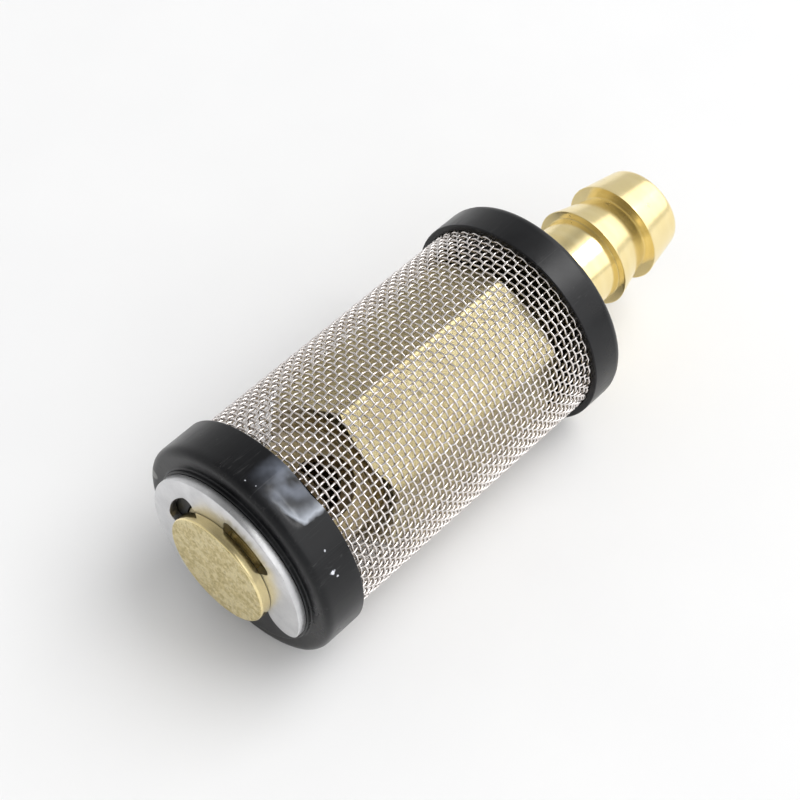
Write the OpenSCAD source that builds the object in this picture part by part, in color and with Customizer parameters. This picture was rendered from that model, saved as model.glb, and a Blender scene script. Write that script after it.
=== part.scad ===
// Suction strainer with a ball check valve: a barbed hose tail screws into a hex valve body,
// and a woven wire screen is held round the body between two moulded caps by a retaining ring.
// The strainer lies on its side. Lengths along its axis are heights above the rim of the
// top cap, where the screen goes in, and grow towards the hose tail.

/* [Caps] */
// Outer radius of both caps
cap_r = 12.5; // [12.4:0.1:13.5]
// Height of the top cap, at the hose tail
top_cap_h = 4.25; // [4:0.05:6]
// Height of the bottom cap, at the retaining ring
bottom_cap_h = 5.05; // [4.5:0.05:7]
// Thickness of the caps' floors
cap_floor_t = 1.5; // [1:0.1:2]
// Rounding of the caps' outer edges
cap_edge_r = 1; // [0.3:0.1:1.4]
// Radius of the flat boss under the retaining ring
boss_r = 10.3; // [9:0.1:11]
// Height of that boss
boss_h = 0.5; // [0.3:0.05:1]
// Wall between the screen's channel and the inside of a cap
lip_t = 0.9; // [0.6:0.1:1.5]
// Depth of the channel that holds the screen's end
channel_depth = 1.6; // [1:0.1:2.2]

/* [Screen] */
// Outer radius of the woven screen
screen_r = 11.78; // [11.4:0.02:11.8]
// Thickness of the cloth, two wires
screen_t = 0.46; // [0.4:0.02:0.6]
// Length of screen that shows between the caps
screen_gap = 35.2; // [34:0.1:50]

/* [Valve body] */
// Width of the hexagon across its flats
hex_af = 17; // [16:0.5:19]
// Length of the hexagon
hex_len = 25.1; // [24:0.1:28]
// Gap between the top cap's rim and the hexagon
hex_drop = 1.8; // [1:0.1:3]
// Radius of the round spigot that carries the top cap
spigot_r = 7.6; // [7.2:0.1:8.2]
// Radius of the stud below the hexagon
stud_r = 6.3; // [6.2:0.1:6.6]
// Radius of the port drilled across the stud
port_r = 3.25; // [2:0.05:3.4]
// Distance of the port's axis below the hexagon
port_drop = 4.2; // [4:0.1:5]
// Radius of the bore from the port to the valve seat
feed_r = 3; // [2.5:0.1:3.1]
// Radius of the valve chamber
chamber_r = 5.5; // [5.3:0.1:5.8]
// Height of the seat's lower edge above the hexagon's lower end
seat_rise = 3.4; // [2:0.1:6]
// Thickness of the disc at the stud's end
disc_t = 1.25; // [1:0.05:2]
// Turn of the hexagon and the port about the axis
body_turn = 124.3; // [0:0.1:180]

/* [Retaining ring] */
// Radius of the groove in the stud
groove_r = 5; // [4.8:0.1:5.4]
// Thickness of the ring
ring_t = 1; // [0.8:0.05:1.1]
// Outer radius of the ring
ring_r = 10.1; // [9.5:0.1:10.3]
// Outer radius of the reliefs between its three prongs
relief_r = 7.9; // [7:0.1:8.5]
// Angle from the middle prong to the middle of each relief
relief_turn = 46; // [44:1:48]
// Half of each relief's angle
relief_half = 26; // [20:1:27]
// Angle from the middle prong to the centre of each rounded leg end
leg_turn = 122; // [118:1:126]
// Radius of the rounded leg ends
leg_end_r = 2.1; // [1.6:0.1:2.3]
// Turn of the middle prong about the axis
ring_turn = 73.7; // [0:0.1:180]

/* [Hose tail] */
// Radius of the tail's bore
tail_bore_r = 3.5; // [2.5:0.1:3.6]
// Radius of the neck under the barbs
neck_r = 5.1; // [4.8:0.1:5.4]
// Radius of the first barb's sharp edge
barb_r = 6.06; // [5.8:0.02:6.3]
// Radius of the second barb's sharp edge
tip_barb_r = 6; // [5.8:0.02:6.2]
// Radius of the root between the barbs
root_r = 4.6; // [4.4:0.05:4.8]
// Radius of the tip
tip_r = 5.1; // [4.8:0.05:5.3]
// Height of the first barb's edge
barb_z = 13; // [12:0.1:16]
// Distance from one barb's edge to the next
barb_pitch = 5.2; // [4:0.1:7]
// Length of the second barb, up to the tip
tip_len = 5.3; // [4:0.1:7]
// Rounding of the tip's edge
tip_edge_r = 0.6; // [0.3:0.05:0.7]
// Width of the tail's hexagonal collar across its flats
collar_af = 14; // [13:0.5:15]
// Thickness of the collar
collar_t = 1.4; // [1:0.1:2.5]
// Thickness of the washer between the collar and the top cap
washer_t = 0.7; // [0.5:0.1:1]
// Radius of the screwed shank
shank_r = 6; // [5.9:0.1:6.2]
// Length of shank below the washer
shank_len = 13.25; // [9:0.25:14]

/* [Check valve] */
// Radius of the ball
ball_r = 4.5; // [4.4:0.05:4.6]
// Mean radius of the spring
spring_r = 3.9; // [3.8:0.05:4.2]
// Radius of the spring's wire
wire_r = 0.2; // [0.15:0.05:0.25]
// Working turns of the spring
spring_turns = 6; // [4:1:7]

/* [Hidden] */
$fn = 96;

touch = 0.02;     // gap between pieces that rest on each other
slip = 0.1;       // gap round a piece that is pushed or passed through a hole
seat_clear = 0.03; // gap between the ball and its seat
cut = 1;          // how far a cutting solid runs past a face

// Heights along the axis
top_end = top_cap_h;
top_floor = top_cap_h - cap_floor_t;
bottom_rim = -screen_gap;
bottom_end = bottom_rim - bottom_cap_h;
bottom_floor = bottom_end + cap_floor_t;
boss_end = bottom_end - boss_h;
ring_back = boss_end - touch;
disc_back = ring_back - ring_t - touch;
disc_end = disc_back - disc_t;
hex_top = -hex_drop;
hex_bottom = hex_top - hex_len;
seat_z = hex_bottom + seat_rise;
port_z = hex_bottom - port_drop;
collar_z = top_end + washer_t + touch;
neck_z = collar_z + collar_t;
shank_end = top_end - shank_len;
tip_z = barb_z + barb_pitch + tip_len;
mid_z = (disc_end + tip_z) / 2;

// Valve: the seat is a 90 degree cone, so the ball's centre is ball_r * sqrt(2) above its point
seat_h = chamber_r - feed_r;
ball_z = seat_z - feed_r + (ball_r + seat_clear) * sqrt(2);
coil_low = ball_z + sqrt(pow(ball_r + wire_r, 2) - pow(spring_r, 2)) + touch;
coil_high = shank_end - wire_r - touch;

// Lays the strainer on its side, with its middle at X = 0 and its caps on Z = 0.
// Angles about the axis are measured from +Y towards +Z.
module lay_down() {
    translate([-mid_z, 0, cap_r]) rotate([0, 90, 0]) rotate([0, 0, 90]) children();
}

// A solid of revolution about the axis, from its half section
module turned() {
    rotate_extrude($fn = 128) children();
}

// Half section of a straight ring between two radii and two heights
module band(r0, r1, z0, z1) {
    translate([r0, z0]) square([r1 - r0, z1 - z0]);
}

// Half section of a cap whose rim is at height 0 and whose floor ends at height h
module cap_section(h, hole_r) {
    lip_r = screen_r - screen_t - touch;
    difference() {
        union() {
            band(hole_r, cap_r - cap_edge_r, 0, h);
            band(cap_r - cap_edge_r - touch, cap_r, 0, h - cap_edge_r);
            translate([cap_r - cap_edge_r, h - cap_edge_r]) circle(cap_edge_r);
        }
        band(0, lip_r - lip_t, -cut, h - cap_floor_t);
        band(0, lip_r, -cut, h - cap_floor_t - channel_depth);
        band(lip_r, screen_r + touch, -cut, h - cap_floor_t);
    }
}

module top_cap() {
    color([0.13, 0.13, 0.14]) lay_down() turned() cap_section(top_cap_h, shank_r + slip);
}

module bottom_cap() {
    color([0.13, 0.13, 0.14]) lay_down() turned() {
        translate([0, bottom_rim]) mirror([0, 1]) cap_section(bottom_cap_h, stud_r + slip);
        band(stud_r + slip, boss_r, boss_end, bottom_end + touch);
    }
}

module screen_cloth() {
    color([0.62, 0.62, 0.6]) lay_down() turned()
        band(screen_r - screen_t, screen_r, bottom_floor + touch, top_floor - touch);
}

// A hexagonal bar between two heights, with turned chamfers on its corners
module hex_bar(af, z0, z1) {
    corner_r = af / sqrt(3);
    bevel_h = (corner_r - af / 2) * tan(30);
    intersection() {
        translate([0, 0, z0]) rotate(30) cylinder(r = corner_r, h = z1 - z0, $fn = 6);
        turned() polygon([[0, z0], [af / 2, z0], [corner_r, z0 + bevel_h],
            [corner_r, z1 - bevel_h], [af / 2, z1], [0, z1]]);
    }
}

module valve_body() {
    end_bevel = 0.25;
    drill_depth = port_r + 0.8;
    color([0.8, 0.62, 0.28]) lay_down() difference() {
        union() {
            rotate(body_turn) hex_bar(hex_af, hex_bottom, hex_top);
            turned() {
                band(0, spigot_r, hex_top - cut, top_floor - touch);
                band(0, stud_r, disc_back, hex_bottom + cut);
                polygon([[0, disc_end], [stud_r - end_bevel, disc_end],
                    [stud_r, disc_end + end_bevel], [stud_r, disc_back + touch], [0, disc_back + touch]]);
            }
        }
        // groove for the retaining ring
        turned() band(groove_r, stud_r + cut, disc_back, boss_end);
        // cross port
        translate([0, 0, port_z]) rotate(body_turn) rotate([0, 90, 0])
            cylinder(r = port_r, h = 2 * (stud_r + cut), center = true);
        // feed bore, seat, chamber and thread
        turned() polygon([[0, port_z - drill_depth - feed_r / 2], [feed_r, port_z - drill_depth],
            [feed_r, seat_z], [chamber_r, seat_z + seat_h], [chamber_r, shank_end - cut],
            [shank_r + touch, shank_end - cut], [shank_r + touch, top_floor + cut], [0, top_floor + cut]]);
    }
}

module hose_tail() {
    bore_mouth = 0.3;
    tip_square_z = tip_z - tip_edge_r;
    color([0.82, 0.64, 0.3]) lay_down() difference() {
        union() {
            rotate(body_turn) hex_bar(collar_af, collar_z, neck_z);
            turned() {
                polygon([[0, shank_end], [shank_r - 0.5, shank_end], [shank_r, shank_end + 0.5],
                    [shank_r, collar_z + touch], [neck_r, collar_z + touch], [neck_r, barb_z],
                    [barb_r, barb_z], [root_r, barb_z + barb_pitch],
                    [tip_barb_r, barb_z + barb_pitch], [tip_r, tip_square_z], [0, tip_square_z]]);
                band(0, tip_r - tip_edge_r, tip_square_z - touch, tip_z);
                translate([tip_r - tip_edge_r, tip_square_z]) circle(tip_edge_r);
            }
        }
        turned() polygon([[0, shank_end - cut], [tail_bore_r, shank_end - cut],
            [tail_bore_r, tip_z - bore_mouth], [tail_bore_r + bore_mouth + touch, tip_z + touch],
            [0, tip_z + touch]]);
    }
}

module collar_washer() {
    color([0.2, 0.17, 0.15]) lay_down() turned()
        band(shank_r + slip, collar_af / 2 + 0.7, top_end + touch, top_end + washer_t);
}

module check_ball() {
    color([0.75, 0.75, 0.77]) lay_down() translate([0, 0, ball_z]) sphere(ball_r);
}

// Coil with two closed end turns, swept as rings of points round the wire
module valve_spring() {
    steps = 20;
    sides = 8;
    turns = spring_turns + 2;
    wire_step = 2 * wire_r + touch;
    pitch = (coil_high - coil_low - 2 * wire_step) / spring_turns;
    function climb(t) = t < 1 ? t * wire_step
        : t > turns - 1 ? wire_step + spring_turns * pitch + (t - turns + 1) * wire_step
        : wire_step + (t - 1) * pitch;
    points = [for (i = [0:steps * turns]) let (t = i / steps, a = 360 * t, z = coil_low + climb(t))
        for (k = [0:sides - 1]) let (b = 360 * k / sides, r = spring_r + wire_r * cos(b))
            [r * cos(a), r * sin(a), z + wire_r * sin(b)]];
    last = steps * turns * sides;
    faces = concat(
        [[for (k = [0:sides - 1]) k]],
        [for (i = [0:steps * turns - 1]) for (k = [0:sides - 1]) let (n = (k + 1) % sides)
            [i * sides + k, (i + 1) * sides + k, (i + 1) * sides + n, i * sides + n]],
        [[for (k = [sides - 1:-1:0]) last + k]]);
    color([0.7, 0.7, 0.72]) lay_down() polyhedron(points, faces);
}

// Points along an arc round centre c, from angle a0 to angle a1
function arc(c, r, a0, a1, n) = [for (i = [0:n]) let (a = a0 + (a1 - a0) * i / n) c + r * [cos(a), sin(a)]];

// The point at radius r and angle a
function at(r, a) = r * [cos(a), sin(a)];

// Ring with a middle prong, two side prongs and a mouth between its rounded legs. Half its outline
// runs along the inner edge from the middle prong, round the leg's end and back along the outer edge.
module retaining_ring() {
    corner = 0.8;
    lean = asin(corner / (relief_r - corner));
    relief_start = relief_turn - relief_half;
    relief_stop = relief_turn + relief_half;
    prong_r = groove_r + touch;
    prong_stop = leg_turn - 5;
    half = concat(
        arc([0, 0], prong_r, 0, relief_start, 6),
        arc(at(relief_r - corner, relief_start + lean), corner, relief_start - 90, relief_start + lean, 8),
        arc([0, 0], relief_r, relief_start + lean + 1, relief_stop - lean - 1, 12),
        arc(at(relief_r - corner, relief_stop - lean), corner, relief_stop - lean, relief_stop + 90, 8),
        arc([0, 0], prong_r, relief_stop, prong_stop, 14),
        arc(at(ring_r - leg_end_r, leg_turn), leg_end_r, leg_turn + 180, leg_turn, 20),
        arc([0, 0], ring_r, leg_turn - 3, 0, 40));
    other_half = [for (i = [len(half) - 1:-1:0]) [half[i][0], -half[i][1]]];
    color([0.72, 0.73, 0.75]) lay_down() translate([0, 0, ring_back - ring_t])
        linear_extrude(ring_t) rotate(ring_turn) polygon(concat(half, other_half));
}

hose_tail();
collar_washer();
top_cap();
valve_body();
check_ball();
valve_spring();
screen_cloth();
bottom_cap();
retaining_ring();
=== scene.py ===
"""A suction strainer lying on its side: a barbed brass hose tail and a hexagonal brass valve body,
with a woven wire screen held round the body between two black caps by a steel retaining ring."""

import math
import random

import bmesh
import bpy
import numpy as np
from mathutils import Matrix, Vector


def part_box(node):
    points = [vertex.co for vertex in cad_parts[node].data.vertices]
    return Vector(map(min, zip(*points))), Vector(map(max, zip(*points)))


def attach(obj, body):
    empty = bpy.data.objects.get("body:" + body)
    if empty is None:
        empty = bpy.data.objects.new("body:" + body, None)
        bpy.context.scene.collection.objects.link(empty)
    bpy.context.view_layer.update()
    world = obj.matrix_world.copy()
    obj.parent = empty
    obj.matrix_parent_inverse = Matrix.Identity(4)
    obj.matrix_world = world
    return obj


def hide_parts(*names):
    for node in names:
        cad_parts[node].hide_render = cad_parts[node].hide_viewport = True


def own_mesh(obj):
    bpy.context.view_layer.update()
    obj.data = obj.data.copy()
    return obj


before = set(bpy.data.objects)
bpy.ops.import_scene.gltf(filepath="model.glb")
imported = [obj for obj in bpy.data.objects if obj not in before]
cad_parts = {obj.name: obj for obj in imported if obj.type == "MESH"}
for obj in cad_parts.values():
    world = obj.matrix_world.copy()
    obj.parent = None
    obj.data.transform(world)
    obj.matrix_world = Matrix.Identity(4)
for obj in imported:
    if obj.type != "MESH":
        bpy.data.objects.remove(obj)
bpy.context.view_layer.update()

MM = 0.001
TAU = 2 * math.pi
BEVEL_LEAN = math.tan(math.radians(30))
SHARP_ANGLE = math.radians(35)
LAMP_DISTANCE = 1.2
TABLE_HALF = 1.5

# ---------------------------------------------------------------- sizes, from the frame

cap_low, cap_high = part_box("top_cap")
screen_low, screen_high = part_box("screen_cloth")
body_low, body_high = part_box("valve_body")
tail_low, tail_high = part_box("hose_tail")
washer_low, washer_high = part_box("collar_washer")
ring_low, ring_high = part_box("retaining_ring")
ball_low, ball_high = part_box("check_ball")
spring_low, spring_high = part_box("valve_spring")
bottom_low, bottom_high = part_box("bottom_cap")

AXIS_Z = (cap_low.z + cap_high.z) / 2
CAP_R = (cap_high.z - cap_low.z) / 2
TOP_RIM, TOP_END = cap_low.x, cap_high.x
BOSS_END, BOTTOM_RIM = bottom_low.x, bottom_high.x
SCREEN_R = (screen_high.z - screen_low.z) / 2
BALL = (ball_low + ball_high) / 2
BALL_R = (ball_high.x - ball_low.x) / 2

# ---------------------------------------------------------------- sizes of details

# TOUCH is the gap between resting pieces, and SLIP the gap round a piece in its hole
TOUCH = 0.02 * MM
SLIP = 0.1 * MM
CAP_FLOOR = 1.5 * MM
CAP_EDGE = 1.0 * MM
BOSS_R, BOSS_H = 10.3 * MM, 0.5 * MM
LIP_T, CHANNEL_DEPTH = 0.9 * MM, 1.6 * MM
CLOTH_T = 0.46 * MM
BODY_TURN = math.radians(124.3)
HEX_AF, HEX_LEN, HEX_DROP = 17 * MM, 25.1 * MM, 1.8 * MM
SPIGOT_R, STUD_R, PORT_R, PORT_DROP = 7.6 * MM, 6.3 * MM, 3.25 * MM, 4.2 * MM
FEED_R, CHAMBER_R, SEAT_RISE = 3 * MM, 5.5 * MM, 3.4 * MM
GROOVE_R, DISC_T = 5 * MM, 1.25 * MM
SHANK_R, TAIL_BORE_R, NECK_R = 6 * MM, 3.5 * MM, 5.1 * MM
BARB_R, TIP_BARB_R, ROOT_R, TIP_R = 6.06 * MM, 6 * MM, 4.6 * MM, 5.1 * MM
BARB_RISE, BARB_PITCH = 13 * MM, 5.2 * MM
COLLAR_AF, COLLAR_T = 14 * MM, 1.4 * MM
RING_TURN = math.radians(73.7)
RING_R, RELIEF_R, LEG_END_R = 10.1 * MM, 7.9 * MM, 2.1 * MM
RELIEF_TURN, RELIEF_HALF, LEG_TURN = math.radians(46), math.radians(26), math.radians(122)
SPRING_R, SPRING_WIRE_R, SPRING_TURNS = 3.9 * MM, 0.2 * MM, 6
WARP_COUNT, WEFT_PITCH, WIRE_R = 88, 0.766 * MM, 0.115 * MM

# the trimmed moulding gate on the bottom cap
SCAR_FROM, SCAR_TO = math.radians(103), math.radians(127)
SCAR_LEN, SCAR_HOLLOW = 3.5 * MM, 0.2 * MM
# rise from the top cap's rim, turn, radius, softness and strength of each pale mark on the caps
CAP_MARKS = (
    (-37.9, 153, 0.3, 0.3, 1.0), (-37.6, 156, 0.14, 0.3, 0.8), (-37.6, 142, 0.13, 0.5, 0.7),
    (-40.0, 113, 0.14, 0.5, 0.8), (-39.2, 96, 0.12, 0.5, 0.6), (-38.9, 101, 0.1, 0.5, 0.8))

HEX_TOP = TOP_RIM - HEX_DROP
HEX_BOTTOM = HEX_TOP - HEX_LEN
PORT_X = HEX_BOTTOM - PORT_DROP
DISC_BACK = body_low.x + DISC_T


# ---------------------------------------------------------------- mesh tools

def add_object(name, data):
    """Puts a mesh, a lamp or a camera in the scene."""
    item = bpy.data.objects.new(name, data)
    bpy.context.scene.collection.objects.link(item)
    return item


def new_piece(name, vertices, faces):
    """A mesh object with outward normals, smooth except across its sharp edges."""
    mesh = bpy.data.meshes.new(name)
    mesh.from_pydata(vertices, [], faces)
    piece = add_object(name, mesh)
    tidy(piece)
    return piece


def mesh_from(work, name):
    """A mesh with the bmesh's shape. The bmesh is freed."""
    mesh = bpy.data.meshes.new(name)
    work.to_mesh(mesh)
    work.free()
    return mesh


def tidy(piece):
    """Welds doubled points, turns the normals outwards and marks sharp edges."""
    mesh = piece.data
    work = bmesh.new()
    work.from_mesh(mesh)
    bmesh.ops.remove_doubles(work, verts=work.verts, dist=1e-7)
    bmesh.ops.dissolve_degenerate(work, edges=work.edges, dist=1e-8)
    bmesh.ops.recalc_face_normals(work, faces=work.faces)
    work.to_mesh(mesh)
    work.free()
    mesh.shade_smooth()
    mesh.set_sharp_from_angle(angle=SHARP_ANGLE)


def even_normals(piece):
    """Lets large faces set the normals at the small fillets beside them."""
    weighted = piece.modifiers.new("even_normals", "WEIGHTED_NORMAL")
    weighted.keep_sharp = True
    weighted.weight = 90


def fillet(outline, arc_steps=4):
    """A closed outline of (x, r, fillet) with its corners rounded, as (x, r) points."""
    points = []
    count = len(outline)
    for i, (x, r, size) in enumerate(outline):
        corner = Vector((x, r))
        if size <= 0:
            points.append(corner)
            continue
        before = (Vector(outline[i - 1][:2]) - corner).normalized() * size
        after = (Vector(outline[(i + 1) % count][:2]) - corner).normalized() * size
        for k in range(arc_steps + 1):
            t = k / arc_steps
            points.append(corner + before * (1 - t) ** 2 + after * t ** 2)
    return points


def split_spans(points, longest):
    """Adds points along a closed outline so that no span is longer than that."""
    fine = []
    for i, point in enumerate(points):
        step = points[(i + 1) % len(points)] - point
        parts = max(1, math.ceil(step.length / longest))
        fine += [point + step * k / parts for k in range(parts)]
    return fine


def lathe(name, points, shape=None, steps=192, turn=0.0):
    """Turns a closed outline of (x, r) points round the axis. shape(x, r, angle) may move a point.
    Angles run from +Y towards +Z, and the first section lies at turn."""
    vertices, faces = [], []
    count = len(points)
    for k in range(steps):
        angle = turn + TAU * k / steps
        for x, r in points:
            along, radius = shape(x, r, angle) if shape else (x, r)
            vertices.append((along, radius * math.cos(angle), AXIS_Z + radius * math.sin(angle)))
    for k in range(steps):
        here, there = k * count, (k + 1) % steps * count
        for i in range(count):
            j = (i + 1) % count
            if points[i][1] > 1e-9 or points[j][1] > 1e-9:
                faces.append((here + i, here + j, there + j, there + i))
    return new_piece(name, vertices, faces)


def hex_corner(across):
    """The radius of a hexagon's corners, and the height of the turned chamfers on them."""
    corner_r = across / math.sqrt(3)
    return corner_r, (corner_r - across / 2) * BEVEL_LEAN


def hexed(across, low, high, turn):
    """A shape for lathe() that mills six flats between two heights."""
    corner_r, bevel = hex_corner(across)
    worn_r = corner_r - 0.1 * MM

    def shape(x, r, angle):
        if not low - 1e-6 <= x <= high + 1e-6 or r < across / 2 - 1e-6:
            return x, r
        off_flat = (angle - turn + TAU / 12) % (TAU / 6) - TAU / 12
        flat_r = min(across / 2 / math.cos(off_flat), worn_r)
        if r <= flat_r:
            return x, r
        inset = (flat_r - across / 2) * BEVEL_LEAN
        if x < low + bevel + 1e-7:
            return low + inset, flat_r
        if x > high - bevel - 1e-7:
            return high - inset, flat_r
        return x, flat_r
    return shape


def cut_away(piece, cutter):
    """Subtracts the cutter from the piece and removes it."""
    cut = piece.modifiers.new("cut", "BOOLEAN")
    cut.operation, cut.object, cut.solver = "DIFFERENCE", cutter, "EXACT"
    bpy.context.view_layer.update()
    evaluated = piece.evaluated_get(bpy.context.evaluated_depsgraph_get())
    mesh = bpy.data.meshes.new_from_object(evaluated)
    piece.modifiers.clear()
    piece.data = mesh
    bpy.data.objects.remove(cutter)
    tidy(piece)


def tubes(name, centres, side, other_side, radius, sides, closed):
    """Round wires in one mesh. centres, side and other_side are arrays of wires x points x 3."""
    wires, points, _ = centres.shape
    turn = np.arange(sides) * TAU / sides
    ring = (side[:, :, None] * np.cos(turn)[:, None] + other_side[:, :, None] * np.sin(turn)[:, None])
    vertices = (centres[:, :, None] + radius * ring).reshape(-1, 3)
    spans = points if closed else points - 1
    wire, span, k = np.meshgrid(np.arange(wires), np.arange(spans), np.arange(sides), indexing="ij")
    start = wire * points * sides
    here, there = start + span * sides, start + (span + 1) % points * sides
    faces = np.stack([here + k, there + k, there + (k + 1) % sides, here + (k + 1) % sides], -1)
    faces = faces.reshape(-1, 4)
    mesh = bpy.data.meshes.new(name)
    mesh.vertices.add(len(vertices))
    mesh.vertices.foreach_set("co", vertices.astype(np.float32).ravel())
    mesh.loops.add(faces.size)
    mesh.loops.foreach_set("vertex_index", faces.astype(np.int32).ravel())
    mesh.polygons.add(len(faces))
    mesh.polygons.foreach_set("loop_start", (np.arange(len(faces)) * 4).astype(np.int32))
    mesh.update(calc_edges=True)
    if not closed:
        close_ends(mesh)
    mesh.shade_smooth()
    return add_object(name, mesh)


def close_ends(mesh):
    """Caps the open ends of wires."""
    work = bmesh.new()
    work.from_mesh(mesh)
    rims = [edge for edge in work.edges if edge.is_boundary]
    bmesh.ops.holes_fill(work, edges=rims)
    bmesh.ops.recalc_face_normals(work, faces=work.faces)
    work.to_mesh(mesh)
    work.free()


# ---------------------------------------------------------------- shader groups

def new_group(name, inputs, outputs):
    """A shader group with its sockets: inputs are (name, type, value), outputs are (name, type)."""
    tree = bpy.data.node_groups.new(name, "ShaderNodeTree")
    for label, kind, value in inputs:
        socket = tree.interface.new_socket(label, in_out="INPUT", socket_type=kind)
        if value is not None:
            socket.default_value = value
    for label, kind in outputs:
        tree.interface.new_socket(label, in_out="OUTPUT", socket_type=kind)
    return tree, tree.nodes.new("NodeGroupInput"), tree.nodes.new("NodeGroupOutput")


def math_node(tree, operation, first, second=None, third=None):
    """A Math node whose inputs are numbers or sockets. Returns its output."""
    node = tree.nodes.new("ShaderNodeMath")
    node.operation = operation
    for socket, value in zip(node.inputs, (first, second, third)):
        feed(tree, socket, value)
    return node.outputs[0]


def feed(tree, socket, value):
    """Links a socket to an input, or sets it to a plain value."""
    if value is None:
        return
    if isinstance(value, bpy.types.NodeSocket):
        tree.links.new(value, socket)
    else:
        socket.default_value = value


def noise(tree, vector, scale, detail=2, roughness=0.5):
    """A Noise texture's value."""
    node = tree.nodes.new("ShaderNodeTexNoise")
    feed(tree, node.inputs["Vector"], vector)
    feed(tree, node.inputs["Scale"], scale)
    node.inputs["Detail"].default_value = detail
    node.inputs["Roughness"].default_value = roughness
    return node.outputs["Fac"]


def spread(tree, value, low, high, to_low=0, to_high=1):
    """Maps low to high onto another span, held between its ends."""
    node = tree.nodes.new("ShaderNodeMapRange")
    node.clamp = True
    for label, item in (("Value", value), ("From Min", low), ("From Max", high),
                        ("To Min", to_low), ("To Max", to_high)):
        feed(tree, node.inputs[label], item)
    return node.outputs["Result"]


def combine(tree, x, y, z):
    node = tree.nodes.new("ShaderNodeCombineXYZ")
    for socket, value in zip(node.inputs, (x, y, z)):
        feed(tree, socket, value)
    return node.outputs[0]


def make_turning_marks():
    """Fine rings round the strainer's axis, as a lathe tool leaves them on faces and sides."""
    tree, given, result = new_group("turning_marks", [
        ("Vector", "NodeSocketVector", None), ("Axis Height", "NodeSocketFloat", 0.0125),
        ("Rings per Metre", "NodeSocketFloat", 6000.0)],
        [("Height", "NodeSocketFloat"), ("Bands", "NodeSocketFloat")])
    parts = tree.nodes.new("ShaderNodeSeparateXYZ")
    tree.links.new(given.outputs["Vector"], parts.inputs[0])
    up = math_node(tree, "SUBTRACT", parts.outputs["Z"], given.outputs["Axis Height"])
    across = math_node(tree, "MULTIPLY", parts.outputs["Y"], parts.outputs["Y"])
    radius = math_node(tree, "SQRT", math_node(tree, "MULTIPLY_ADD", up, up, across))
    place = combine(tree, parts.outputs["X"], radius, 0.0)
    fine = noise(tree, place, given.outputs["Rings per Metre"], 3, 0.6)
    broad = noise(tree, place, math_node(tree, "DIVIDE", given.outputs["Rings per Metre"], 7.0), 1)
    tree.links.new(fine, result.inputs["Height"])
    tree.links.new(spread(tree, broad, 0.35, 0.65), result.inputs["Bands"])
    return tree


def make_grain():
    """Fine even grain, and slow clouds for uneven finish."""
    tree, given, result = new_group("grain", [
        ("Vector", "NodeSocketVector", None), ("Grain Scale", "NodeSocketFloat", 6000.0),
        ("Cloud Scale", "NodeSocketFloat", 300.0)],
        [("Grain", "NodeSocketFloat"), ("Clouds", "NodeSocketFloat")])
    fine = noise(tree, given.outputs["Vector"], given.outputs["Grain Scale"], 4, 0.6)
    slow = noise(tree, given.outputs["Vector"], given.outputs["Cloud Scale"], 3, 0.55)
    tree.links.new(fine, result.inputs["Grain"])
    tree.links.new(spread(tree, slow, 0.3, 0.7), result.inputs["Clouds"])
    return tree


def make_specks():
    """Small scattered specks, such as pits, dust and handling marks."""
    tree, given, result = new_group("specks", [
        ("Vector", "NodeSocketVector", None), ("Scale", "NodeSocketFloat", 900.0),
        ("Amount", "NodeSocketFloat", 0.1)], [("Mask", "NodeSocketFloat")])
    cells = tree.nodes.new("ShaderNodeTexVoronoi")
    tree.links.new(given.outputs["Vector"], cells.inputs["Vector"])
    tree.links.new(given.outputs["Scale"], cells.inputs["Scale"])
    shade = tree.nodes.new("ShaderNodeSeparateColor")
    tree.links.new(cells.outputs["Color"], shade.inputs[0])
    chosen = math_node(tree, "LESS_THAN", shade.outputs[0], given.outputs["Amount"])
    size = math_node(tree, "MULTIPLY", shade.outputs[1], 0.42)
    near = spread(tree, math_node(tree, "SUBTRACT", size, cells.outputs["Distance"]), 0.0, 0.08)
    tree.links.new(math_node(tree, "MULTIPLY", chosen, near), result.inputs["Mask"])
    return tree


def make_scratches():
    """Thin straight scratches in two directions."""
    tree, given, result = new_group("scratches", [
        ("Vector", "NodeSocketVector", None), ("Scale", "NodeSocketFloat", 150.0),
        ("Amount", "NodeSocketFloat", 0.04)], [("Mask", "NodeSocketFloat")])
    masks = []
    for lean, stretch in ((0.5, 14.0), (2.1, 22.0)):
        turned = tree.nodes.new("ShaderNodeMapping")
        tree.links.new(given.outputs["Vector"], turned.inputs["Vector"])
        turned.inputs["Rotation"].default_value = (lean, lean * 0.7, lean * 1.3)
        turned.inputs["Scale"].default_value = (1.0, stretch, stretch)
        value = noise(tree, turned.outputs[0], given.outputs["Scale"], 1, 0.4)
        off_line = math_node(tree, "ABSOLUTE", math_node(tree, "SUBTRACT", value, 0.5))
        line = math_node(tree, "LESS_THAN", off_line, math_node(tree, "MULTIPLY",
                         given.outputs["Amount"], 0.2))
        patch = noise(tree, turned.outputs[0], math_node(tree, "DIVIDE", given.outputs["Scale"], 6.0), 1)
        masks.append(math_node(tree, "MULTIPLY", line, spread(tree, patch, 0.52, 0.62)))
    tree.links.new(math_node(tree, "MAXIMUM", *masks), result.inputs["Mask"])
    return tree


def make_edge_wear():
    """Marks outer edges, where a finish is rubbed bright."""
    tree, given, result = new_group("edge_wear", [
        ("Vector", "NodeSocketVector", None), ("Start", "NodeSocketFloat", 0.52),
        ("Full", "NodeSocketFloat", 0.6)], [("Mask", "NodeSocketFloat")])
    geometry = tree.nodes.new("ShaderNodeNewGeometry")
    sharp = spread(tree, geometry.outputs["Pointiness"], given.outputs["Start"], given.outputs["Full"])
    broken = spread(tree, noise(tree, given.outputs["Vector"], 1500.0, 3), 0.35, 0.6)
    tree.links.new(math_node(tree, "MULTIPLY", sharp, broken), result.inputs["Mask"])
    return tree


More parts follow.
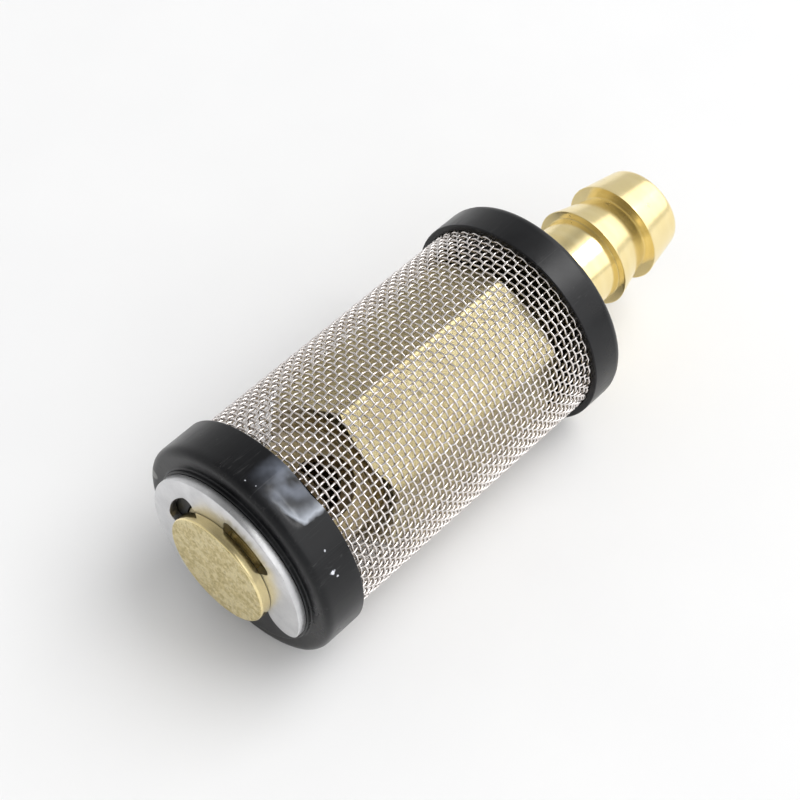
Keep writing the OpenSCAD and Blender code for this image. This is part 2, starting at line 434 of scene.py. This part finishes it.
def make_chip():
    """One ragged chip, or a soft haze, of a given size round a given point."""
    tree, given, result = new_group("chip", [
        ("Vector", "NodeSocketVector", None), ("Centre", "NodeSocketVector", (0, 0, 0)),
        ("Radius", "NodeSocketFloat", 0.0002), ("Softness", "NodeSocketFloat", 0.1),
        ("Grain Scale", "NodeSocketFloat", 4000.0)],
        [("Mask", "NodeSocketFloat")])
    gap = tree.nodes.new("ShaderNodeVectorMath")
    gap.operation = "DISTANCE"
    tree.links.new(given.outputs["Vector"], gap.inputs[0])
    tree.links.new(given.outputs["Centre"], gap.inputs[1])
    ragged = spread(tree, noise(tree, given.outputs["Vector"], given.outputs["Grain Scale"], 2),
                    0.3, 0.7, 0.45, 1.5)
    edge = math_node(tree, "MULTIPLY", given.outputs["Radius"], ragged)
    core = math_node(tree, "MULTIPLY", edge, math_node(tree, "SUBTRACT", 1.0, given.outputs["Softness"]))
    tree.links.new(spread(tree, gap.outputs["Value"], edge, core), result.inputs["Mask"])
    return tree


def make_gate_mark():
    """Strained plastic round the trimmed moulding gate: a pale lip and a hazy side."""
    tree, given, result = new_group("gate_mark", [("Vector", "NodeSocketVector", None)],
                                    [("Lip", "NodeSocketFloat"), ("Haze", "NodeSocketFloat")])
    place = given.outputs["Vector"]
    parts = tree.nodes.new("ShaderNodeSeparateXYZ")
    tree.links.new(place, parts.inputs[0])
    turn = math_node(tree, "ARCTAN2", math_node(tree, "SUBTRACT", parts.outputs["Z"], AXIS_Z),
                     parts.outputs["Y"])
    ragged = spread(tree, noise(tree, place, 700.0, 2), 0.3, 0.7, -0.04, 0.04)
    width = SCAR_TO - SCAR_FROM
    across = math_node(tree, "MULTIPLY_ADD", turn, 1 / width, -SCAR_FROM / width)
    across = math_node(tree, "ADD", across, ragged)
    along = math_node(tree, "MULTIPLY_ADD", parts.outputs["X"], -1 / SCAR_LEN, BOTTOM_RIM / SCAR_LEN)
    along = math_node(tree, "ADD", along, ragged)

    def both(*masks):
        total = masks[0]
        for mask in masks[1:]:
            total = math_node(tree, "MULTIPLY", total, mask)
        return total

    def fourth_power(value):
        above = math_node(tree, "MAXIMUM", value, 0.0)
        return math_node(tree, "POWER", above, 4.0)

    on_cap = spread(tree, along, -0.1, 0.0)
    corner = math_node(tree, "ADD", fourth_power(across), fourth_power(along))
    reach = math_node(tree, "POWER", corner, 0.25)
    inner = spread(tree, reach, 0.62, 1.0)
    lip = both(spread(tree, reach, 1.06, 0.98), inner, inner, spread(tree, across, 0.25, 0.9), on_cap)
    haze = both(spread(tree, across, 0.85, 0.3), spread(tree, across, -0.4, 0.2),
                spread(tree, along, 1.15, 0.5), on_cap,
                spread(tree, noise(tree, place, 420.0, 2), 0.35, 0.65))
    tree.links.new(lip, result.inputs["Lip"])
    tree.links.new(haze, result.inputs["Haze"])
    return tree


GROUPS = {tree.name: tree for tree in (
    make_turning_marks(), make_grain(), make_specks(), make_scratches(), make_edge_wear(), make_chip(),
    make_gate_mark())}


# ---------------------------------------------------------------- materials

class Finish:
    """A material with its Principled shader and short ways to place groups and mixes."""

    def __init__(self, name, **plain):
        self.material = bpy.data.materials.new(name)
        self.material.use_nodes = True
        self.tree = self.material.node_tree
        self.shader = self.tree.nodes["Principled BSDF"]
        self.place = self.tree.nodes.new("ShaderNodeTexCoord").outputs["Object"]
        for label, value in plain.items():
            self.shader.inputs[label.replace("_", " ")].default_value = value

    def group(self, name, **values):
        node = self.tree.nodes.new("ShaderNodeGroup")
        node.node_tree = GROUPS[name]
        self.tree.links.new(self.place, node.inputs["Vector"])
        for label, value in values.items():
            feed(self.tree, node.inputs[label.replace("_", " ")], value)
        return node.outputs

    def mix(self, mask, first, second):
        node = self.tree.nodes.new("ShaderNodeMix")
        node.data_type = "RGBA"
        feed(self.tree, node.inputs[0], mask)
        feed(self.tree, node.inputs[6], colour(first))
        feed(self.tree, node.inputs[7], colour(second))
        return node.outputs[2]

    def calc(self, operation, *values):
        return math_node(self.tree, operation, *values)

    def spread(self, *values):
        return spread(self.tree, *values)

    def to(self, label, socket):
        self.tree.links.new(socket, self.shader.inputs[label])

    def bump(self, height, distance, strength=1.0, under=None):
        node = self.tree.nodes.new("ShaderNodeBump")
        node.inputs["Strength"].default_value = strength
        node.inputs["Distance"].default_value = distance
        self.tree.links.new(height, node.inputs["Height"])
        if under is not None:
            self.tree.links.new(under, node.inputs["Normal"])
        return node.outputs["Normal"]


def colour(value):
    """A colour with its alpha, or a socket as it is."""
    return value if isinstance(value, bpy.types.NodeSocket) else (*value, 1.0)


def turned_brass(name, light, deep, roughness):
    """Bright turned brass: tool rings round the axis, slow clouds of tone and worn edges."""
    brass = Finish(name, Metallic=1.0)
    marks = brass.group("turning_marks", Axis_Height=AXIS_Z, Rings_per_Metre=9000.0)
    grain = brass.group("grain", Grain_Scale=9000.0, Cloud_Scale=260.0)
    specks = brass.group("specks", Scale=1100.0, Amount=0.05)
    wear = brass.group("edge_wear")
    tone = brass.calc("MULTIPLY_ADD", marks["Bands"], 0.4, brass.calc("MULTIPLY", grain["Clouds"], 0.6))
    base = brass.mix(tone, deep, light)
    base = brass.mix(brass.calc("MULTIPLY", specks["Mask"], 0.35), base, [c * 0.4 for c in deep])
    brass.to("Base Color", brass.mix(wear["Mask"], base, [min(1, c * 1.12) for c in light]))
    rough = brass.spread(marks["Height"], 0.3, 0.7, roughness * 0.75, roughness * 1.3)
    brass.to("Roughness", brass.calc("MULTIPLY_ADD", specks["Mask"], 0.2, rough))
    brass.to("Normal", brass.bump(marks["Height"], 0.004 * MM, 0.6))
    return brass.material


def sawn_brass(name):
    """The stud's end face: parted off, dull and speckled."""
    brass = Finish(name, Metallic=1.0)
    marks = brass.group("turning_marks", Axis_Height=AXIS_Z, Rings_per_Metre=5000.0)
    grain = brass.group("grain", Grain_Scale=3500.0, Cloud_Scale=420.0)
    specks = brass.group("specks", Scale=2200.0, Amount=0.4)
    base = brass.mix(brass.spread(grain["Grain"], 0.35, 0.65), (0.42, 0.33, 0.13), (0.78, 0.68, 0.40))
    base = brass.mix(brass.calc("MULTIPLY", grain["Clouds"], 0.35), base, (0.62, 0.52, 0.26))
    brushed = brass.group("scratches", Scale=260.0, Amount=0.8)
    base = brass.mix(brass.calc("MULTIPLY", brushed["Mask"], 0.4), base, (0.9, 0.82, 0.56))
    base = brass.mix(brass.calc("MULTIPLY", specks["Mask"], 0.55), base, (0.26, 0.17, 0.05))
    brass.to("Base Color", base)
    brass.to("Roughness", brass.spread(grain["Grain"], 0.3, 0.7, 0.38, 0.6))
    low = brass.bump(marks["Height"], 0.004 * MM, 0.6)
    brass.to("Normal", brass.bump(grain["Grain"], 0.012 * MM, 0.8, low))
    return brass.material


def cap_plastic(name):
    """Black moulded plastic with a satin skin, pale scuffs and dust."""
    plastic = Finish(name, Metallic=0.0, IOR=1.37)
    grain = plastic.group("grain", Grain_Scale=5000.0, Cloud_Scale=230.0)
    dust = plastic.group("specks", Scale=420.0, Amount=0.028)
    scratch = plastic.group("scratches", Scale=130.0, Amount=0.05)
    wear = plastic.group("edge_wear", Start=0.53, Full=0.64)
    base = plastic.mix(grain["Clouds"], (0.0022, 0.0024, 0.0032), (0.006, 0.0063, 0.0075))
    base = plastic.mix(plastic.calc("MULTIPLY", scratch["Mask"], 0.14), base, (0.12, 0.12, 0.12))
    base = plastic.mix(plastic.calc("MULTIPLY", wear["Mask"], 0.25), base, (0.06, 0.06, 0.06))
    base = plastic.mix(plastic.calc("MULTIPLY", dust["Mask"], 0.5), base, (0.4, 0.4, 0.38))
    for rise, turn, size, softness, strength in CAP_MARKS:
        spot = (TOP_RIM + rise * MM, CAP_R * math.cos(math.radians(turn)),
                AXIS_Z + CAP_R * math.sin(math.radians(turn)))
        mark = plastic.group("chip", Centre=spot, Radius=size * MM, Softness=softness,
                             Grain_Scale=4500.0 * (1 - 0.85 * softness))
        base = plastic.mix(plastic.calc("MULTIPLY", mark["Mask"], strength), base, (0.72, 0.74, 0.8))
    gate = plastic.group("gate_mark")
    base = plastic.mix(plastic.calc("MULTIPLY", gate["Haze"], 0.35), base, (0.5, 0.56, 0.7))
    base = plastic.mix(plastic.calc("MULTIPLY", gate["Lip"], 0.65), base, (0.7, 0.75, 0.84))
    plastic.to("Base Color", base)
    rough = plastic.spread(grain["Clouds"], 0.0, 1.0, 0.26, 0.38)
    plastic.to("Roughness", plastic.calc("MULTIPLY_ADD", scratch["Mask"], 0.15, rough))
    low = plastic.bump(grain["Grain"], 0.006 * MM, 0.5)
    plastic.to("Normal", plastic.bump(grain["Clouds"], 0.03 * MM, 0.5, low))
    return plastic.material


def steel(name, light, deep, roughness, grain_scale=7000.0):
    """Satin steel with a fine grain, slow clouds and a few handling marks."""
    metal = Finish(name, Metallic=1.0)
    grain = metal.group("grain", Grain_Scale=grain_scale, Cloud_Scale=500.0)
    scratch = metal.group("scratches", Scale=400.0, Amount=0.06)
    base = metal.mix(grain["Clouds"], deep, light)
    metal.to("Base Color", metal.mix(metal.calc("MULTIPLY", scratch["Mask"], 0.5), base, light))
    metal.to("Roughness", metal.spread(grain["Grain"], 0.3, 0.7, roughness * 0.75, roughness * 1.3))
    metal.to("Normal", metal.bump(grain["Grain"], 0.003 * MM, 0.5))
    return metal.material


def rubber(name):
    """Dark nitrile rubber."""
    skin = Finish(name, Metallic=0.0)
    grain = skin.group("grain", Grain_Scale=6000.0, Cloud_Scale=400.0)
    skin.to("Base Color", skin.mix(grain["Clouds"], (0.014, 0.012, 0.011), (0.03, 0.027, 0.025)))
    skin.to("Roughness", skin.spread(grain["Grain"], 0.3, 0.7, 0.5, 0.75))
    skin.to("Normal", skin.bump(grain["Grain"], 0.01 * MM, 0.5))
    return skin.material


TAIL_BRASS = turned_brass("tail_brass", (0.93, 0.79, 0.44), (0.87, 0.71, 0.35), 0.19)
# the valve body under the screen gets a darker copy of the tail's brass: painted shade
SHADED_BODY_BRASS = turned_brass("body_brass", (0.60, 0.53, 0.31), (0.41, 0.335, 0.185), 0.28)
# the stud between the bottom cap and the hexagon gets a still darker copy: painted shade
STUD_SHADE_BRASS = turned_brass("stud_brass_painted_shade", (0.53, 0.44, 0.26), (0.33, 0.26, 0.145), 0.34)
# the faces inside the bores and the port get a dark copy: painted shade
BORE_SHADE_BRASS = turned_brass("bore_brass_painted_shade", (0.42, 0.30, 0.13), (0.25, 0.16, 0.06), 0.45)
END_BRASS = sawn_brass("end_brass")
CAP_BLACK = cap_plastic("cap_black")
WIRE_STEEL = steel("wire_steel", (0.97, 0.93, 0.91), (0.78, 0.73, 0.70), 0.24)
RING_STEEL = steel("ring_steel", (0.74, 0.74, 0.75), (0.62, 0.62, 0.63), 0.34)
BALL_STEEL = steel("ball_steel", (0.80, 0.80, 0.81), (0.74, 0.74, 0.76), 0.1)
SPRING_STEEL = steel("spring_steel", (0.68, 0.68, 0.69), (0.55, 0.55, 0.57), 0.25)
WASHER_RUBBER = rubber("washer_rubber")


# ---------------------------------------------------------------- pieces

def place(piece, node, body, slot, *materials):
    """Gives a piece its materials and its body, and hides the CAD node it stands for. The slot is not
    used.
    """
    for material in materials:
        piece.data.materials.append(material)
    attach(piece, body)
    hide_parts(node)


def cap_outline(rim, end, hole_r, extra=()):
    """Half section of a cap that opens at rim and has its floor at end."""
    inward = 1 if rim > end else -1
    floor = end + inward * CAP_FLOOR
    channel = floor + inward * CHANNEL_DEPTH
    lip_r = SCREEN_R - CLOTH_T - TOUCH
    wall_r = SCREEN_R + TOUCH
    return [
        (rim, wall_r, 0.06 * MM), (rim, CAP_R, 0.14 * MM), (end, CAP_R, CAP_EDGE), *extra,
        (end, hole_r, 0.1 * MM), (floor, hole_r, 0.1 * MM), (floor, lip_r - LIP_T, 0.1 * MM),
        (channel, lip_r - LIP_T, 0.15 * MM), (channel, lip_r, 0.1 * MM),
        (floor, lip_r, 0.0), (floor, wall_r, 0.0)]


def gate_scar(x, r, angle):
    """The flat facet, hollowed along one side, where a moulding gate was trimmed off the cap."""
    along = (BOTTOM_RIM - x) / SCAR_LEN
    across = (angle - SCAR_FROM) / (SCAR_TO - SCAR_FROM)
    if r < CAP_R - 0.3 * MM or not (0 < across < 1 and along < 1):
        return x, r
    half = (SCAR_TO - SCAR_FROM) / 2
    chord = CAP_R * math.cos(half) / math.cos(half * (2 * across - 1))
    hollow = SCAR_HOLLOW * math.sin(math.pi * across ** 2)
    run_out = min(1.0, 4 * (1 - along))
    return x, r - (CAP_R - chord + hollow) * run_out


def make_caps():
    top = lathe("top_cap_shell", fillet(cap_outline(TOP_RIM, TOP_END, SHANK_R + SLIP), 6))
    bottom_end, hole_r = BOSS_END + BOSS_H, STUD_R + SLIP
    boss = [(bottom_end, BOSS_R, 0.2 * MM), (BOSS_END, BOSS_R, 0.15 * MM), (BOSS_END, hole_r, 0.1 * MM)]
    outline = cap_outline(BOTTOM_RIM, bottom_end, hole_r, boss)
    outline = [point for point in outline if point[:2] != (bottom_end, hole_r)]
    points = split_spans(fillet(outline, 6), 0.25 * MM)
    bottom = lathe("bottom_cap_shell", points, gate_scar, steps=384)
    for piece, node in ((top, "top_cap"), (bottom, "bottom_cap")):
        even_normals(piece)
        place(piece, node, "strainer", "cap_black", CAP_BLACK)


def make_hose_tail():
    collar_low = washer_high.x + TOUCH
    collar_high = collar_low + COLLAR_T
    corner_r, bevel = hex_corner(COLLAR_AF)
    shank_end, tip = tail_low.x, tail_high.x
    barb_x = TOP_RIM + BARB_RISE
    second_x = barb_x + BARB_PITCH
    edge = 0.05 * MM
    outline = [
        (shank_end, TAIL_BORE_R, 0.1 * MM), (shank_end, SHANK_R, 0.5 * MM), (collar_low, SHANK_R, 0.0),
        (collar_low, COLLAR_AF / 2, 0.0), (collar_low + bevel, corner_r, 0.0),
        (collar_high - bevel, corner_r, 0.0), (collar_high, COLLAR_AF / 2, 0.0),
        (collar_high, NECK_R, 0.2 * MM), (barb_x, NECK_R, 0.06 * MM), (barb_x, BARB_R, edge),
        (second_x, ROOT_R, 0.06 * MM), (second_x, TIP_BARB_R, edge), (tip, TIP_R - 0.1 * MM, 0.6 * MM),
        (tip, TAIL_BORE_R, 0.25 * MM)]
    points = split_spans(fillet(outline, 5), 0.3 * MM)
    shape = hexed(COLLAR_AF, collar_low, collar_high, BODY_TURN)
    tail = lathe("hose_tail_turning", points, shape, steps=240, turn=BODY_TURN)
    even_normals(tail)
    place(tail, "hose_tail", "strainer", "tail_brass", TAIL_BRASS)


def make_valve_body():
    corner_r, bevel = hex_corner(HEX_AF)
    thread_r = SHANK_R + TOUCH
    seat_x = HEX_BOTTOM + SEAT_RISE
    thread_end = tail_low.x - 1 * MM
    feed_end = PORT_X - PORT_R - 0.8 * MM
    floor = body_high.x
    outline = [
        (body_low.x, 0.0, 0.0), (body_low.x, STUD_R, 0.28 * MM), (DISC_BACK, STUD_R, 0.12 * MM),
        (DISC_BACK, GROOVE_R, 0.08 * MM), (BOSS_END, GROOVE_R, 0.08 * MM), (BOSS_END, STUD_R, 0.12 * MM),
        (HEX_BOTTOM, STUD_R, 0.15 * MM), (HEX_BOTTOM, HEX_AF / 2, 0.0),
        (HEX_BOTTOM + bevel, corner_r, 0.0), (HEX_TOP - bevel, corner_r, 0.0),
        (HEX_TOP, HEX_AF / 2, 0.0), (HEX_TOP, SPIGOT_R, 0.1 * MM), (floor, SPIGOT_R, 0.15 * MM),
        (floor, thread_r, 0.15 * MM), (thread_end, thread_r, 0.0),
        (thread_end, CHAMBER_R, 0.0), (seat_x + CHAMBER_R - FEED_R, CHAMBER_R, 0.1 * MM),
        (seat_x, FEED_R, 0.1 * MM), (feed_end, FEED_R, 0.0), (feed_end - FEED_R / 2, 0.0, 0.0)]
    points = split_spans(fillet(outline, 5), 1.5 * MM)
    shape = hexed(HEX_AF, HEX_BOTTOM, HEX_TOP, BODY_TURN)
    body = lathe("valve_body_turning", points, shape, steps=240, turn=BODY_TURN)
    cut_away(body, port_drill())
    even_normals(body)
    place(body, "valve_body", "strainer", "body_brass", SHADED_BODY_BRASS, END_BRASS, BORE_SHADE_BRASS, STUD_SHADE_BRASS,
          TAIL_BRASS)
    for face in body.data.polygons:
        face.material_index = body_brass_choice(face)


def body_brass_choice(face):
    """The place in the valve body's materials of the brass that one of its faces gets: the sawn end, the
    bright tail brass on the disc's side, and darker copies with painted shade elsewhere.
    """
    plain, sawn_end, bore_shade, stud, disc_side = range(5)
    outward = Vector((0, face.center.y, face.center.z - AXIS_Z))
    if face.normal.x < -0.8 and face.center.x < body_low.x + 0.05 * MM:
        return sawn_end
    # faces inside the bores and the port get the darkest copy: painted shade
    if face.normal.dot(outward.normalized()) < 0.2 and outward.length < STUD_R - 0.3 * MM:
        return bore_shade if face.center.x > BOSS_END + 0.1 * MM else plain
    # the stud between the bottom cap and the hexagon gets a deeper painted shade
    if BOTTOM_RIM - 2 * MM < face.center.x < HEX_BOTTOM + 0.05 * MM:
        return stud
    # the disc's side keeps the bright brass, and the rest of the body gets the copy with painted shade
    return disc_side if face.center.x < BOSS_END else plain


def port_drill():
    """A drill through the stud, with its edges broken where it comes out."""
    reach, break_at, wide_r = STUD_R + 1.5 * MM, STUD_R - 0.55 * MM, PORT_R + 0.6 * MM
    middle = Vector((PORT_X, 0, AXIS_Z))
    outward = Vector((0, math.cos(BODY_TURN), math.sin(BODY_TURN)))
    sideways = Vector((0, -outward.z, outward.y))
    steps = 64
    rings = [(-reach, wide_r), (-break_at, PORT_R), (break_at, PORT_R), (reach, wide_r)]
    vertices, faces = [], []
    for along, radius in rings:
        for k in range(steps):
            around = polar(radius, TAU * k / steps)
            vertices.append(middle + outward * along + Vector((around.x, 0, 0)) + sideways * around.y)
    for ring in range(len(rings) - 1):
        for k in range(steps):
            after = (k + 1) % steps
            faces.append((ring * steps + k, ring * steps + after,
                          (ring + 1) * steps + after, (ring + 1) * steps + k))
    faces.append(list(range(steps)))
    faces.append([(len(rings) - 1) * steps + k for k in range(steps)])
    return new_piece("port_drill", vertices, faces)


def polar(radius, angle):
    return Vector((radius * math.cos(angle), radius * math.sin(angle)))


def arc(centre, radius, start, stop, steps):
    return [centre + polar(radius, start + (stop - start) * k / steps) for k in range(steps + 1)]


def ring_outline():
    """The retaining ring's outline in its own plane, from the middle prong round both legs."""
    corner = 0.8 * MM
    lean = math.asin(corner / (RELIEF_R - corner))
    first, last = RELIEF_TURN - RELIEF_HALF, RELIEF_TURN + RELIEF_HALF
    centre = Vector((0, 0))
    prong_r = GROOVE_R + TOUCH
    quarter, degree = math.radians(90), math.radians(1)
    half = (
        arc(centre, prong_r, 0, first, 8)
        + arc(polar(RELIEF_R - corner, first + lean), corner, first - quarter, first + lean, 10)
        + arc(centre, RELIEF_R, first + lean + degree, last - lean - degree, 16)
        + arc(polar(RELIEF_R - corner, last - lean), corner, last - lean, last + quarter, 10)
        + arc(centre, prong_r, last, LEG_TURN - 5 * degree, 20)
        + arc(polar(RING_R - LEG_END_R, LEG_TURN), LEG_END_R, LEG_TURN + 2 * quarter, LEG_TURN, 24)
        + arc(centre, RING_R, LEG_TURN - 2 * degree, 0, 80))
    return half + [Vector((p.x, -p.y)) for p in reversed(half)][1:-1]


def make_retaining_ring():
    work = bmesh.new()
    around = []
    for point in ring_outline():
        angle = math.atan2(point.y, point.x) + RING_TURN
        spot = polar(point.length, angle)
        around.append(work.verts.new((ring_low.x, spot.x, AXIS_Z + spot.y)))
    bmesh.ops.remove_doubles(work, verts=work.verts, dist=0.01 * MM)
    front = work.faces.new([vertex for vertex in around if vertex.is_valid])
    grown = bmesh.ops.extrude_face_region(work, geom=[front])
    moved = [item for item in grown["geom"] if isinstance(item, bmesh.types.BMVert)]
    bmesh.ops.translate(work, verts=moved, vec=(ring_high.x - ring_low.x, 0, 0))
    rims = [edge for edge in work.edges if abs(edge.verts[0].co.x - edge.verts[1].co.x) < 1e-9]
    bmesh.ops.bevel(work, geom=rims, offset=0.09 * MM, segments=3, profile=0.5, affect="EDGES")
    bmesh.ops.triangulate(work, faces=[face for face in work.faces if len(face.verts) > 4])
    piece = add_object("retaining_ring_pressing", mesh_from(work, "retaining_ring_pressing"))
    tidy(piece)
    even_normals(piece)
    place(piece, "retaining_ring", "strainer", "ring_steel", RING_STEEL)


def make_screen():
    """Plain weave: hoops and lengthwise wires that pass over and under each other in turn."""
    middle_r = SCREEN_R - 2 * WIRE_R
    hoops = int((screen_high.x - screen_low.x - 4 * WIRE_R) / WEFT_PITCH) + 1
    start = (screen_low.x + screen_high.x - (hoops - 1) * WEFT_PITCH) / 2
    hoop_play, hoop_drift = 0.03 * MM, 0.05 * MM
    wire_play, wire_lean = 0.0018, 0.004  # radians round the axis
    rng = random.Random(5)
    hoop_shift = np.array([rng.uniform(-1, 1) for _ in range(hoops)]) * hoop_play
    warp_shift = np.array([rng.uniform(-1, 1) for _ in range(WARP_COUNT)]) * wire_play

    steps = 4 * WARP_COUNT
    angle = np.arange(steps) * TAU / steps
    sign = (-1.0) ** np.arange(hoops)
    wave = sign[:, None] * np.cos(angle * WARP_COUNT / 2)[None]
    radius = middle_r + WIRE_R * wave
    drift = hoop_drift * np.sin(2 * angle + 0.7)[None] * np.sin(np.arange(hoops) * 0.21)[:, None]
    x = (start + WEFT_PITCH * np.arange(hoops) + hoop_shift)[:, None] + drift
    outward = np.stack([np.zeros(steps), np.cos(angle), np.sin(angle)], -1)
    centres = radius[..., None] * outward[None] + np.array([0, 0, AXIS_Z])
    centres[..., 0] = x
    side = np.broadcast_to(outward, centres.shape)
    along = np.broadcast_to(np.array([1.0, 0, 0]), centres.shape)
    weft = tubes("screen_hoops", centres, side, along, WIRE_R, 5, closed=True)

    steps = 4 * hoops + 1
    place_x = np.linspace(screen_low.x + WIRE_R, screen_high.x - WIRE_R, steps)
    turn = np.arange(WARP_COUNT) * TAU / WARP_COUNT + warp_shift
    sign = (-1.0) ** np.arange(WARP_COUNT)
    wave = -sign[:, None] * np.cos((place_x - start) / WEFT_PITCH * math.pi)[None]
    radius = middle_r + WIRE_R * wave
    lean = wire_lean * np.sin(place_x / (9 * MM))[None] * np.sin(3 * turn)[:, None]
    angle = turn[:, None] + lean
    outward = np.stack([np.zeros_like(angle), np.cos(angle), np.sin(angle)], -1)
    across = np.stack([np.zeros_like(angle), -np.sin(angle), np.cos(angle)], -1)
    centres = radius[..., None] * outward + np.array([0, 0, AXIS_Z])
    centres[..., 0] = place_x[None]
    warp = tubes("screen_lengthwise_wires", centres, outward, across, WIRE_R, 5, closed=False)
    for piece in (weft, warp):
        place(piece, "screen_cloth", "strainer", "screen_wire", WIRE_STEEL)


def make_washer():
    inner, outer, edge = SHANK_R + SLIP, (washer_high.z - washer_low.z) / 2, 0.12 * MM
    low, high = washer_low.x, washer_high.x
    outline = [(low, inner, edge), (low, outer, edge), (high, outer, edge), (high, inner, edge)]
    washer = lathe("collar_washer_ring", fillet(outline))
    even_normals(washer)
    place(washer, "collar_washer", "strainer", "washer_rubber", WASHER_RUBBER)


def make_ball():
    work = bmesh.new()
    bmesh.ops.create_icosphere(work, subdivisions=5, radius=BALL_R)
    bmesh.ops.translate(work, verts=work.verts, vec=BALL)
    mesh = mesh_from(work, "check_ball_steel")
    mesh.shade_smooth()
    ball = add_object("check_ball_steel", mesh)
    place(ball, "check_ball", "ball", "ball_steel", BALL_STEEL)


def make_spring():
    """A coil with a closed turn at each end. The real spring shortens as the ball lifts; this mesh keeps
    one length.
    """
    low, high = spring_low.x + SPRING_WIRE_R, spring_high.x - SPRING_WIRE_R
    turns, closed = SPRING_TURNS + 2, 2 * SPRING_WIRE_R + TOUCH
    climb = high - low
    t = np.linspace(0, turns, 40 * turns + 1)
    x = low + np.interp(t, [0, 1, turns - 1, turns], [0, closed, climb - closed, climb])
    outward = np.stack([np.zeros_like(t), np.cos(TAU * t), np.sin(TAU * t)], -1)
    centres = SPRING_R * outward + np.array([0, 0, AXIS_Z])
    centres[:, 0] = x
    along = np.broadcast_to(np.array([1.0, 0, 0]), centres.shape)
    spring = tubes("valve_spring_coil", centres[None], outward[None], along[None],
                   SPRING_WIRE_R, 12, closed=False)
    place(spring, "valve_spring", "strainer", "spring_wire", SPRING_STEEL)
    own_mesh(spring)


make_caps()
make_hose_tail()
make_valve_body()
make_retaining_ring()
make_screen()
make_washer()
make_ball()
make_spring()


# ---------------------------------------------------------------- table, light and camera

def make_table():
    """A pale matt table top."""
    corners = [(x * TABLE_HALF, y * TABLE_HALF, 0) for x, y in ((-1, -1), (1, -1), (1, 1), (-1, 1))]
    table = new_piece("table_top", corners, [(0, 1, 2, 3)])
    paint = Finish("table_white", Metallic=0.0)
    grain = paint.group("grain", Grain_Scale=2500.0, Cloud_Scale=30.0)
    paint.to("Base Color", paint.mix(grain["Clouds"], (0.845, 0.845, 0.848), (0.87, 0.87, 0.87)))
    paint.to("Roughness", paint.spread(grain["Grain"], 0.3, 0.7, 0.75, 0.9))
    table.data.materials.append(paint.material)


def make_lamp(name, azimuth, elevation, size, power):
    """A rectangular soft lamp that faces the strainer's middle."""
    light = bpy.data.lights.new(name, "AREA")
    light.shape, light.size, light.size_y = "RECTANGLE", size[0], size[1]
    light.energy = power
    lamp = add_object(name, light)
    towards = from_angles(azimuth, elevation)
    lamp.location = towards * LAMP_DISTANCE + Vector((0, 0, AXIS_Z))
    lamp.rotation_euler = towards.to_track_quat("Z", "Y").to_euler()
    return lamp


def from_angles(azimuth, elevation):
    """The direction at an azimuth, from +X towards +Y, and an elevation, in degrees."""
    a, e = math.radians(azimuth), math.radians(elevation)
    return Vector((math.cos(e) * math.cos(a), math.cos(e) * math.sin(a), math.sin(e)))


def make_light():
    """A bright sky, two windows that the metal mirrors, and two soft lamps for the table."""
    world = bpy.data.worlds.new("studio")
    world.use_nodes = True
    tree = world.node_tree
    backdrop = tree.nodes["Background"]
    backdrop.inputs["Color"].default_value = (1.0, 1.0, 1.0, 1.0)
    direction = tree.nodes.new("ShaderNodeSeparateXYZ")
    tree.links.new(tree.nodes.new("ShaderNodeTexCoord").outputs["Generated"], direction.inputs[0])
    strength = spread(tree, direction.outputs["Z"], 0.5, 0.95, 0.7, 0.26)
    tree.links.new(strength, backdrop.inputs["Strength"])
    bpy.context.scene.world = world
    window = make_lamp("window", -36, 36, (2.4, 1.3), 10.0)
    window_sky = make_lamp("window_sky", -28, 46, (0.55, 0.45), 4.0)
    daylight = make_lamp("high_daylight", -36, 60, (1.0, 0.8), 8.8)
    fill = make_lamp("overhead_fill", -104, 50, (1.5, 1.5), 5.8)
    for mirrored in (window, window_sky):
        mirrored.visible_diffuse = False
    for soft in (daylight, fill):
        soft.visible_glossy = False


def make_camera():
    """The camera looks down on the strainer from the stud's end."""
    data = bpy.data.cameras.new("camera")
    data.lens, data.sensor_width = 85.55, 36.0
    data.clip_start, data.clip_end = 0.01, 10
    camera = add_object("camera", data)
    towards, distance = from_angles(222.83, 51.93), 204.39 * MM
    look_at = Vector((TOP_RIM - 12.44 * MM, 3.93 * MM, AXIS_Z - 5.05 * MM))
    camera.location = look_at + towards * distance
    camera.rotation_euler = towards.to_track_quat("Z", "Y").to_euler()
    bpy.context.scene.camera = camera
    bpy.context.scene.view_settings.view_transform = "Standard"


make_table()
make_light()
make_camera()
